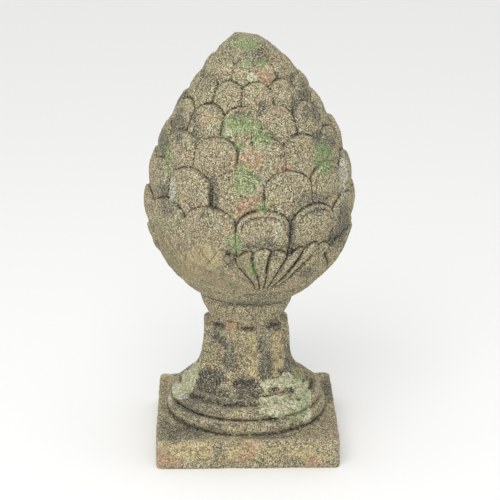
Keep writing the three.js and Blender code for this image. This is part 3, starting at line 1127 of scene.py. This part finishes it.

# %% [markdown]
# The stains are where the photograph shows them. Each line gives the middle of a patch and its half
# width and half height, in pixels of the photograph, and how strong it is. Moss and lichen grow on the
# stone. Terracotta is a rusty red and golden a warm stain, which on the flutes of the shaft is also a
# painted highlight. Pale is bleached stone or thin lichen, and grime is the black dirt of the hollows
# and also painted shade: in the pockets over the flutes, down the flutes, in the undercuts under the
# scales and the ledge, and along the sides of the cone. Small holes go through the crust of lichen and
# into the stone, and are painted dark as shade, and in bare places the crust has come off.

# %% Stains
STAINS = {
    "moss": [
        (234, 40, 9, 8, 0.8),
        (247, 45, 11, 6, 1.0),
        (257, 38, 10, 5, 0.5),
        (246, 64, 8, 5, 0.7),
        (262, 62, 8, 6, 0.7),
        (243, 126, 19, 9, 1.0),
        (262, 139, 12, 11, 0.9),
        (240, 147, 6, 6, 0.8),
        (226, 136, 4, 5, 0.7),
        (245, 181, 13, 15, 0.9),
        (263, 208, 7, 5, 0.9),
        (234, 243, 9, 10, 0.8),
        (322, 160, 12, 16, 1.0),
        (168, 158, 5, 14, 0.8),
        (253, 268, 6, 9, 0.8),
        (303, 403, 6, 15, 0.55),
        (292, 414, 8, 6, 0.6),
        (297, 377, 6, 6, 0.8),
        (247, 437, 9, 2, 0.5),
    ],
    "lichen": [
        (198, 365, 9, 8, 1.0),
        (192, 375, 12, 9, 1.0),
        (186, 385, 13, 9, 1.0),
        (177, 393, 9, 7, 1.0),
        (274, 386, 12, 7, 1.0),
        (290, 381, 13, 8, 1.0),
        (301, 396, 11, 20, 1.0),
        (284, 406, 23, 12, 1.0),
        (268, 401, 9, 9, 1.0),
        (306, 416, 6, 9, 0.9),
        (252, 77, 5, 5, 0.9),
        (228, 133, 5, 6, 0.8),
    ],
    "pale": [
        (173, 188, 4, 13, 0.9),
        (343, 172, 4, 22, 0.8),
        (175, 386, 4, 7, 1.0),
        (183, 396, 5, 4, 0.8),
        (169, 398, 3, 5, 0.7),
        (248, 190, 4, 5, 0.7),
        (279, 224, 3, 13, 0.6),
        (307, 414, 4, 4, 0.8),
        (239, 246, 3, 5, 0.6),
        (268, 152, 5, 7, 0.4),
        (262, 182, 6, 9, 0.4),
        (250, 193, 8, 4, 0.45),
        (279, 236, 4, 10, 0.45),
        (300, 168, 6, 8, 0.25),
        (252, 60, 12, 5, 0.35),
    ],
    "terracotta": [
        (252, 161, 12, 12, 0.9),
        (237, 162, 8, 8, 0.6),
        (250, 206, 13, 11, 0.8),
        (240, 210, 6, 8, 0.6),
        (257, 200, 5, 6, 0.9),
        (267, 76, 9, 8, 0.8),
        (205, 121, 7, 7, 0.7),
        (214, 116, 6, 6, 0.5),
        (284, 168, 9, 6, 0.7),
        (276, 112, 7, 6, 0.5),
        (290, 284, 10, 4, 0.6),
        (161, 460, 9, 10, 1.0),
        (172, 463, 12, 6, 0.8),
        (251, 443, 11, 8, 0.9),
        (246, 457, 9, 8, 0.7),
        (314, 462, 12, 6, 0.7),
        (283, 410, 6, 4, 0.9),
        (232, 326, 7, 9, 0.8),
        (281, 393, 5, 2.5, 0.8),
    ],
    # Grime is dirt, and also painted shade in the pockets, down the flutes, in the undercuts and along
    # the sides.
    "grime_and_shade": [
        (219, 326, 7, 5, 1.3),
        (248, 330, 9, 3, 0.35),
        (275, 325, 7, 5, 1.1),
        (216, 335, 6, 5, 1.0),
        (222, 341, 6, 5, 1.0),
        (228, 348, 6, 6, 0.9),
        (229, 361, 7, 9, 1.0),
        (262, 345, 4, 13, 1.0),
        (266, 366, 7, 14, 1.0),
        (290, 357, 5, 17, 1.0),
        (286, 373, 6, 5, 0.9),
        (205, 378, 11, 9, 1.0),
        (217, 377, 12, 8, 1.0),
        (202, 389, 14, 10, 1.0),
        (216, 396, 18, 7, 0.9),
        (244, 385, 10, 9, 1.0),
        (250, 395, 14, 6, 0.9),
        (187, 403, 16, 10, 1.0),
        (178, 400, 9, 9, 1.0),
        (225, 401, 34, 4, 0.9),
        (205, 411, 20, 4, 0.8),
        (192, 414, 12, 4, 0.8),
        (215, 427, 8, 4, 0.9),
        (180, 434, 24, 7, 0.65),
        (164, 424, 5, 12, 0.6),
        (310, 385, 7, 13, 0.8),
        (331, 390, 10, 22, 0.95),
        (274, 419, 14, 5, 0.8),
        (218, 452, 4, 10, 0.55),
        (262, 437, 24, 2, 0.5),
        (318, 196, 18, 5, 0.6),
        (302, 202, 8, 5, 0.6),
        (291, 232, 4, 24, 1.0),
        (333, 237, 8, 11, 0.9),
        (343, 225, 9, 22, 1.0),
        (316, 212, 9, 6, 0.7),
        (214, 192, 4, 16, 1.0),
        (244, 114, 10, 4, 1.0),
        (238, 121, 8, 5, 0.7),
        (262, 110, 5, 8, 0.7),
        (180, 125, 6, 20, 0.8),
        (194, 118, 5, 7, 0.8),
        (196, 133, 4, 14, 0.8),
        (295, 106, 4, 10, 0.8),
        (306, 112, 6, 8, 0.6),
        (292, 80, 3, 8, 0.8),
        (318, 139, 7, 10, 0.9),
        (331, 142, 5, 6, 0.8),
        (207, 82, 8, 8, 0.5),
        (228, 254, 4, 5, 0.9),
        (268, 244, 14, 5, 0.8),
        (250, 247, 10, 4, 0.8),
        (274, 255, 5, 6, 0.9),
        (307, 272, 12, 6, 0.6),
        (262, 297, 18, 3, 0.45),
        (166, 193, 6, 11, 0.8),
        (168, 210, 9, 9, 0.7),
        (203, 214, 5, 5, 0.7),
        (250, 304, 34, 3, 0.55),
        (228, 47, 6, 3, 0.6),
        (257, 56, 12, 13, 0.7),
        (164, 140, 7, 13, 0.9),
        (176, 126, 8, 11, 0.8),
        (184, 98, 7, 10, 0.9),
        (304, 92, 6, 13, 0.9),
        (316, 112, 6, 13, 0.8),
        (326, 146, 5, 14, 0.8),
        (210, 405, 26, 5, 0.6),
    ],
    # Golden is a warm stain, and on the flutes of the shaft it is a painted highlight.
    "golden_and_highlight": [
        (251, 357, 7, 24, 1.2),
        (277, 356, 5, 24, 0.9),
        (233, 328, 5, 10, 0.6),
        (200, 258, 22, 12, 0.7),
        (190, 275, 22, 10, 0.5),
        (186, 450, 27, 12, 1.0),
        (252, 452, 30, 11, 0.7),
        (310, 452, 26, 11, 0.7),
        (310, 222, 6, 16, 0.5),
        (230, 380, 2, 10, 0.8),
        (320, 292, 5, 5, 0.4),
    ],
    # Holes and pits are pressed in and painted dark as shade.
    "shaded_hole": [
        (274, 390, 5.5, 2.6, 1.0),
        (291, 390, 4, 3.6, 1.0),
        (298, 399, 2, 1.6, 0.9),
        (311, 423, 1.8, 1.8, 1.0),
        (265, 396, 4, 1.2, 0.8),
        (240, 196, 2.6, 2.0, 1.0),
        (253, 143, 2.4, 1.9, 1.0),
        (228, 254, 3.2, 2.0, 1.0),
        (291, 251, 2.2, 2.6, 1.0),
        (153, 226, 1.6, 3, 0.9),
    ],
    "bare": [
        (274, 391, 7, 3.6, 1.0),
        (291, 391, 5.5, 4.5, 1.0),
        (281, 393, 7, 3.5, 0.9),
        (267, 396, 6, 1.5, 1.0),
        (298, 400, 2.5, 2, 0.8),
        (302, 380, 3, 3, 0.8),
        (283, 409, 5, 4, 0.5),
    ],
}
print(sum(len(spots) for spots in STAINS.values()), "stains named")

# %% [markdown]
# A stain is put on the surface by looking through the camera at its middle. It is an ellipsoid there,
# so it wraps round the form and doesn't paint the back, and noise makes its edge ragged. The hidden
# sides get stains of the same kinds at seeded places. Moss and lichen are a crust on the stone, so the
# skin is raised under them, and it is pressed in at the holes.

# %% Put the stains on the surface
EDGE_NOISE = [(22 * MM, 0.3), (7 * MM, 0.48)]
CRISP_KINDS = ("lichen", "bare", "shaded_hole")
STAIN_SOFTNESS = 0.35
CRISP_SOFTNESS = 0.12
CRISP_RAGGEDNESS = 0.5
STAIN_DEPTH = 1.6
HIDDEN_STAINS = {
    "moss": 18,
    "lichen": 7,
    "pale": 6,
    "terracotta": 16,
    "grime_and_shade": 60,
    "golden_and_highlight": 14,
    "bare": 14,
    "shaded_hole": 9,
}
HIDDEN_TURNS = (100, 260)
HIDDEN_HEIGHTS = (0.02, 0.95)
HIDDEN_HALF_WIDTHS = (5 * MM, 20 * MM)
HIDDEN_SHAPES = (0.5, 1.4)
HIDDEN_STRENGTHS = (0.5, 1.0)
HOLE_HALF_WIDTH = 2.5 * MM
CRUST_HEIGHT = 1.1 * MM
CRUST_EDGE = (0.35, 0.65)
MOSS_CRUST = 0.7
HOLE_DEPTH = 1.2 * MM
STAIN_SEED = 21


ragged = sum(share * cloud_over(places, size) for size, share in EDGE_NOISE)
surface = BVHTree.FromObject(casting, bpy.context.evaluated_depsgraph_get())


def patch(kind, middle, right, up, out, half_width, half_height):
    """How much each point is in a patch round a middle, 1 inside and 0 outside, with a ragged edge."""
    crisp = kind in CRISP_KINDS
    softness = CRISP_SOFTNESS if crisp else STAIN_SOFTNESS
    off = places - np.array(middle)
    across = off @ np.array(right) / half_width
    along = off @ np.array(up) / half_height
    deep = off @ np.array(out) / (STAIN_DEPTH * max(half_width, half_height))
    far = np.sqrt(across**2 + along**2 + deep**2) + ragged * (CRISP_RAGGEDNESS if crisp else 1)
    return 1 - smooth(far, 1 - softness, 1 + softness)


def seen_stains(kind):
    total = np.zeros(len(places))
    for x, y, half_width, half_height, strength in STAINS[kind]:
        hit = surface.ray_cast(eye, sight(x, y))[0]
        if hit is None:
            print("a", kind, "stain at", x, y, "misses the casting")
            continue
        sizes = (half_width * MM_A_PIXEL, half_height * MM_A_PIXEL)
        total = np.maximum(total, strength * patch(kind, hit, rightwards, upwards, towards, *sizes))
    return total


def hidden_stains(kind, chance):
    total = np.zeros(len(places))
    for _ in range(HIDDEN_STAINS[kind]):
        angle = math.radians(chance.uniform(*HIDDEN_TURNS))
        inward = Vector((-math.sin(angle), math.cos(angle), 0))
        height = casting_high.z * chance.uniform(*HIDDEN_HEIGHTS)
        hit = surface.ray_cast(Vector((0, 0, height)) - inward, inward)[0]
        side = Vector((-inward.y, inward.x, 0))
        half_width = HOLE_HALF_WIDTH
        if kind != "shaded_hole":
            half_width = chance.uniform(*HIDDEN_HALF_WIDTHS)
        half_height = half_width * chance.uniform(*HIDDEN_SHAPES)
        strength = chance.uniform(*HIDDEN_STRENGTHS)
        spot = patch(kind, hit, side, Vector((0, 0, 1)), inward, half_width, half_height)
        total = np.maximum(total, strength * spot)
    return total


chance = random.Random(STAIN_SEED)
stained = {kind: np.maximum(seen_stains(kind), hidden_stains(kind, chance)) for kind in STAINS}
stained["lichen"] = stained["lichen"] * (1 - stained.pop("bare"))
for kind, amount in stained.items():
    store(casting, kind, amount)
    print(kind, "covers", round(100 * float((amount > 0.5).mean()), 1), "% of the points")
crust = smooth(np.maximum(stained["lichen"], MOSS_CRUST * stained["moss"]), *CRUST_EDGE)
raised = CRUST_HEIGHT * crust - HOLE_DEPTH * stained["shaded_hole"]
set_points(casting, places + normals * raised[:, None])

# %% [markdown]
# The stone is dry-packed cast stone: crushed sandstone and sand in cement, with a grain of one to two
# millimetres that shows as light and dark specks. Old weathered stone reflects a third of the light,
# and has no gloss at all. One helper turns a hex colour to linear light and one adds nodes.


# %% Helpers for materials
def linear(code):
    """A colour written in sRGB hex, as the linear numbers that a shader takes."""
    channels = [int(code[k : k + 2], 16) / 255 for k in (1, 3, 5)]
    return [c / 12.92 if c <= 0.04045 else ((c + 0.055) / 1.055) ** 2.4 for c in channels] + [1]


def add(tree, kind, inputs=None, output=0, **settings):
    """Adds a node with its settings, sets or links its inputs, and hands back one output."""
    node = tree.nodes.new(kind)
    for name, value in settings.items():
        setattr(node, name, value)
    for name, value in (inputs or {}).items():
        if isinstance(value, bpy.types.NodeSocket):
            tree.links.new(value, node.inputs[name])
        else:
            node.inputs[name].default_value = value
    return node.outputs[output]


print("white in linear light:", linear("#ffffff"))

# %% [markdown]
# A cloud is a pattern of noise, and its size is that of what it draws, from the drift of colour over the
# whole casting down to single grains. The two grains are drawn at the coarse end of what is real, so
# that they show at this distance. Each cloud has a size, a number of finer layers, and how strong these
# are.

# %% Clouds
CLOUDS = {
    "drift": (55 * MM, 3, 0.5),
    "olive": (29 * MM, 2, 0.5),
    "rust": (21 * MM, 2, 0.5),
    "blotch": (16 * MM, 3, 0.5),
    "scratch": (6 * MM, 2, 0.6),
    "flake": (5 * MM, 3, 0.7),
    "worm track": (3.4 * MM, 2, 0.6),
    "tuft": (3 * MM, 3, 0.6),
    "grain": (1.8 * MM, 3, 0.65),
    "fine grain": (1.4 * MM, 2, 0.6),
}
print(len(CLOUDS), "clouds, the finest", round(min(size for size, *_ in CLOUDS.values()) / MM, 1), "mm")

# %% [markdown]
# Measures say where something shows, most of them from 0 to 1. Each line makes one from clouds, from
# the attributes of the mesh or from earlier measures, by a sum. RANGE isn't a sum: it turns a stretch
# of its source into 0 to 1, or into two further numbers. The joints are drawn by how far a point is
# from their middle line, with a width that changes from tuft to tuft. The dark lines join the joints,
# the rim lines and the cracks, and in the cracks they are dirt and painted shade. The fringe of a
# lichen crust gets a painted shadow. Scratches run where a cloud crosses its mean. Specks are fainter
# under crusts and stains, and light ones are lost in the dirt and painted shade and in the dark lines.

# %% Measures
LINE_WIDTH = 2.5 * MM / JOINT_REACH
SPECKS_HIDDEN = {"lichen": 0.35, "terracotta": 0.3, "golden_and_highlight": 0.1, "moss": 0.1, "streak_clear": 0.35}
MEASURES = [
    ("tufted", "MULTIPLY_ADD", "tuft", 2.2, -1.1),
    ("grain side", "RANGE", "grain", 0.4, 0.6),
    ("relief", "MULTIPLY_ADD", "tuft", 0.6, "grain"),
    ("line width", "MULTIPLY_ADD", "tuft", LINE_WIDTH, -0.2 * LINE_WIDTH),
    ("off line", "ABSOLUTE", "joint_side"),
    ("off line", "DIVIDE", "off line", "line width"),
    ("on line", "RANGE", "off line", 1.0, 0.4),
    ("joint", "RANGE", "joint_near", 0.1, 0.6),
    ("joint", "MULTIPLY", "joint", "on line"),
    # The cracks are dirt and painted shade in the creases.
    ("joints_cracks_and_shade", "RANGE", "crack_dirt_and_shade", 0.35, 1.1),
    ("joints_cracks_and_shade", "MAXIMUM", "joints_cracks_and_shade", "joint"),
    ("joints_cracks_and_shade", "MAXIMUM", "joints_cracks_and_shade", "rim_line"),
    ("crust", "RANGE", "lichen", 0.02, 0.2),
    # A painted shadow on the fringe of a lichen crust.
    ("crust_edge_shadow", "RANGE", "lichen", 0.5, 0.3),
    ("crust_edge_shadow", "MULTIPLY", "crust_edge_shadow", "crust"),
    ("flaked", "RANGE", "flake", 0.5, 0.36),
    ("flaked", "MULTIPLY", "flaked", "lichen"),
    ("scratch", "SUBTRACT", "scratch", 0.5),
    ("scratch", "ABSOLUTE", "scratch"),
    ("scratch", "RANGE", "scratch", 0.04, 0.008),
    ("worm track", "SUBTRACT", "worm track", 0.5),
    ("worm track", "ABSOLUTE", "worm track"),
    ("worm track", "RANGE", "worm track", 0.055, 0.011, 0, 0.8),
    ("dark speck", "RANGE", "grain", 0.47, 0.37),
    ("dark speck", "MAXIMUM", "dark speck", "scratch"),
    ("dark speck", "MAXIMUM", "dark speck", "worm track"),
    ("light speck", "RANGE", "fine grain", 0.53, 0.62),
    ("open", "RANGE", "drift", 0.38, 0.62, 0.9, 1.0),
]
for name, share in SPECKS_HIDDEN.items():
    MEASURES.append(("cover", "MULTIPLY_ADD", name, -share, 1.0))
    MEASURES.append(("open", "MULTIPLY", "open", "cover"))
MEASURES += [
    ("dark speck", "MULTIPLY", "dark speck", "open"),
    ("light speck", "MULTIPLY", "light speck", "open"),
    # Light specks are lost in the dirt and the painted shade.
    ("in_grime_and_shade", "MULTIPLY", "grime_and_shade", 0.5),
    ("in_cracks_and_shade", "MULTIPLY", "joints_cracks_and_shade", 0.7),
    ("lost", "MAXIMUM", "in_grime_and_shade", "in_cracks_and_shade"),
    ("clean", "SUBTRACT", 1.0, "lost"),
    ("light speck", "MULTIPLY", "light speck", "clean"),
    ("streaks", "RANGE", "streak noise", 0.5, 0.4),
    ("streaks", "MULTIPLY", "streaks", "streak_clear"),
    ("broken", "RANGE", "tuft", 0.35, 0.55),
    ("streaks", "MULTIPLY", "streaks", "broken"),
]
print(len(MEASURES), "measures")

# %% [markdown]
# The colour is built up in coats over the body colour, from the drift and blotches of the stone to the
# dirt and painted shade, the painted highlights, the growth and the specks. Each coat says what it
# shows, how ragged the tufts make it, where it starts and where it is full, and how far it hides what is
# under it. A second colour is for the hollows between grains, since moss and lichen grow in tufts and
# dirt lies in the grain.

# %% Coats of colour
BODY_COLOUR = "#bbaa82"
COATS = [
    ("drift", 0, 0.38, 0.62, 1.0, "#aa9a76"),
    ("rust", 0, 0.5, 0.68, 0.65, "#c09e84"),
    ("olive", 0, 0.5, 0.64, 0.55, "#a1a273"),
    ("blotch", 0, 0.42, 0.65, 0.6, "#87806a"),
    # Golden: a warm stain, and a painted highlight on the flutes of the shaft.
    ("golden_and_highlight", 0.5, 0.2, 0.8, 0.92, "#dcc890", "#c8b683"),
    ("terracotta", 0.45, 0.2, 0.95, 0.85, "#c98d72", "#b98f72"),
    # Grime: dirt, and painted shade in pockets, flutes and undercuts and along the sides.
    ("grime_and_shade", 1.0, 0.2, 0.66, 0.92, "#504f4a", "#68655b"),
    # Recesses: dirt and painted shade in the broad hollows.
    ("recess_dirt_and_shade", 0.5, 0.25, 1.2, 0.5, "#57534a"),
    # Dark lines: the joints and rim lines, and dirt and painted shade in the cracks.
    ("joints_cracks_and_shade", 0, 0, 1, 0.95, "#2b2924"),
    # Rubbed edges: wear, and a painted highlight on the ridges.
    ("worn_edge_and_highlight", 0, 0.2, 1, 0.35, "#bdb392"),
    # A painted shadow round the edge of a lichen crust.
    ("crust_edge_shadow", 0, 0, 1, 0.6, "#3d382d"),
    ("lichen", 1.0, 0.2, 0.62, 1.0, "#f8f7d4", "#b3b489"),
    ("pale", 1.3, 0.2, 0.75, 0.95, "#f0f1e0", "#cacdb5"),
    ("moss", 0.9, 0.2, 0.85, 0.88, "#7da459", "#a3b181"),
    ("flaked", 0, 0, 1, 0.85, "#66664a"),
    # Holes and pits: painted shade.
    ("shaded_hole", 1.0, 0.4, 0.8, 1.0, "#2b2822"),
    ("dark speck", 0, 0, 1, 0.95, "#38342b"),
    ("light speck", 0, 0, 1, 0.85, "#eee5c4"),
    ("streaks", 0, 0, 1, 0.6, "#4f4838"),
]
print(len(COATS), "coats over", BODY_COLOUR)

# %% [markdown]
# The tables are turned into nodes one line at a time. A table suits this stone better than nodes placed
# one by one, because there are many stains and all of them are made in the same way. The grain and the
# tufts also tilt the light a little, through a bump that is as deep as the grain is wide.

# %% Cast stone
STONE_ROUGHNESS = 0.95
STONE_IOR = 1.5
STONE_SHEEN = 0.25
BUMP_DEPTH = 1.8 * MM
RANGE_SOCKETS = ("Value", "From Min", "From Max", "To Min", "To Max")


def cast_stone():
    stone = bpy.data.materials.new("cast stone")
    stone.use_nodes = True
    tree = stone.node_tree
    level = {}
    for name in stored:
        level[name] = add(tree, "ShaderNodeAttribute", output="Fac", attribute_name=name)
    where = add(tree, "ShaderNodeTexCoord", output="Object")
    for name, (size, detail, roughness) in CLOUDS.items():
        inputs = {"Vector": where, "Scale": 1 / size, "Detail": detail, "Roughness": roughness}
        level[name] = add(tree, "ShaderNodeTexNoise", inputs)
    one_way = {"W": level["streak"], "Scale": 1.0, "Detail": 2.0}
    level["streak noise"] = add(tree, "ShaderNodeTexNoise", one_way, noise_dimensions="1D")

    for result, how, *sources in MEASURES:
        sources = [level.get(source, source) for source in sources]
        if how == "RANGE":
            inputs = dict(zip(RANGE_SOCKETS, sources))
            level[result] = add(tree, "ShaderNodeMapRange", inputs)
        else:
            level[result] = add(tree, "ShaderNodeMath", dict(enumerate(sources)), operation=how)

    colour = linear(BODY_COLOUR)
    for name, torn, start, full, most, *tints in COATS:
        tufts = {0: level["tufted"], 1: torn, 2: level[name]}
        reached = add(tree, "ShaderNodeMath", tufts, operation="MULTIPLY_ADD")
        stretch = {"Value": reached, "From Min": start, "From Max": full, "To Max": most}
        share = add(tree, "ShaderNodeMapRange", stretch)
        tint = linear(tints[0])
        if len(tints) > 1:
            two_tone = {0: level["grain side"], 6: linear(tints[1]), 7: tint}
            tint = add(tree, "ShaderNodeMix", two_tone, output=2, data_type="RGBA")
        coat = {0: share, 6: colour, 7: tint}
        colour = add(tree, "ShaderNodeMix", coat, output=2, data_type="RGBA")

    surface_node = tree.nodes["Principled BSDF"]
    tree.links.new(colour, surface_node.inputs["Base Color"])
    surface_node.inputs["Roughness"].default_value = STONE_ROUGHNESS
    surface_node.inputs["IOR"].default_value = STONE_IOR
    surface_node.inputs["Specular IOR Level"].default_value = STONE_SHEEN
    bumps = {"Height": level["relief"], "Distance": BUMP_DEPTH, "Strength": 1.0}
    tree.links.new(add(tree, "ShaderNodeBump", bumps), surface_node.inputs["Normal"])
    return stone


casting.data.materials.clear()
casting.data.materials.append(cast_stone())
print("stone has", len(casting.data.materials[0].node_tree.nodes), "nodes")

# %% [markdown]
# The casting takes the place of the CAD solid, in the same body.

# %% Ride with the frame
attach(casting, "root")
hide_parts("pinecone_finial")
print("casting rides on root")

# %% [markdown]
# A pale floor, a bright even sky and one large lamp in front give the flat light of a product
# photograph: soft shading on the egg and hardly any shadow on the floor.

# %% Floor and light
FLOOR_SIZE = 30
FLOOR_ROUGHNESS = 0.9
SKY_STRENGTH = 0.8
LAMP_POWER = 26
LAMP_SIZE = 1.6
LAMP_PLACE = Vector((-0.35, -1.6, 1.9))
LAMP_AIM = Vector((0, 0, 0.2))

deselect()
bpy.ops.mesh.primitive_plane_add(size=FLOOR_SIZE)
floor = started("floor")
paper = bpy.data.materials.new("white paper")
paper.use_nodes = True
paper_surface = paper.node_tree.nodes["Principled BSDF"]
paper_surface.inputs["Base Color"].default_value = linear("#fbfbfa")
paper_surface.inputs["Roughness"].default_value = FLOOR_ROUGHNESS
floor.data.materials.append(paper)

sky = bpy.data.worlds.new("studio")
sky.use_nodes = True
sky.node_tree.nodes["Background"].inputs["Color"].default_value = linear("#ffffff")
sky.node_tree.nodes["Background"].inputs["Strength"].default_value = SKY_STRENGTH
bpy.context.scene.world = sky

bpy.ops.object.light_add(type="AREA", location=LAMP_PLACE)
lamp = bpy.context.object
lamp.data.energy = LAMP_POWER
lamp.data.size = LAMP_SIZE
lamp.rotation_euler = (LAMP_AIM - LAMP_PLACE).to_track_quat("-Z", "Y").to_euler()
bpy.context.scene.view_settings.view_transform = "Standard"
print("studio ready")
